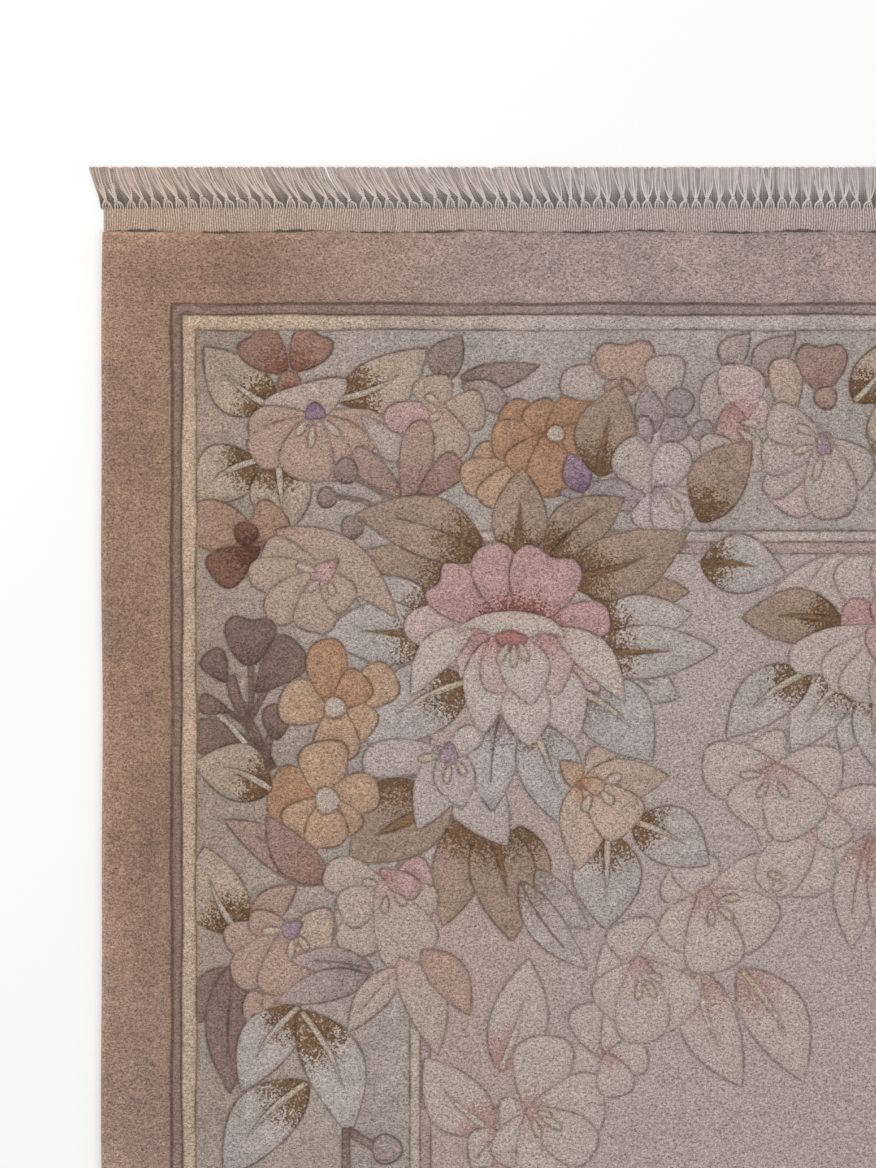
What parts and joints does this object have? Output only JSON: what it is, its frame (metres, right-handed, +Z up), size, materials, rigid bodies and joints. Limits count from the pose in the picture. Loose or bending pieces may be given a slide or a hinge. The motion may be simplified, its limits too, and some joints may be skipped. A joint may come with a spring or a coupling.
{
  "type": "chinese silk rug",
  "caption": "Flat hand-knotted silk rug with a carved floral pile, a framed border, flatwoven ends and knotted fringe.",
  "frame": {"origin": "on the floor under the centre of the rug", "axes": "+X across the rug, +Y along its length towards the end that the picture shows, +Z up from the floor through the pile"},
  "size_m": [1.6226, 2.5266, 0.011],
  "materials": {
    "pile": "silk pile with a soft sheen, taupe, rose and cream",
    "fringe": "undyed twisted warp yarn"
  },
  "bodies": {
    "root": {"rug_body": "pile", "fringe_far": "fringe", "fringe_near": "fringe"}
  },
  "joints": []
}
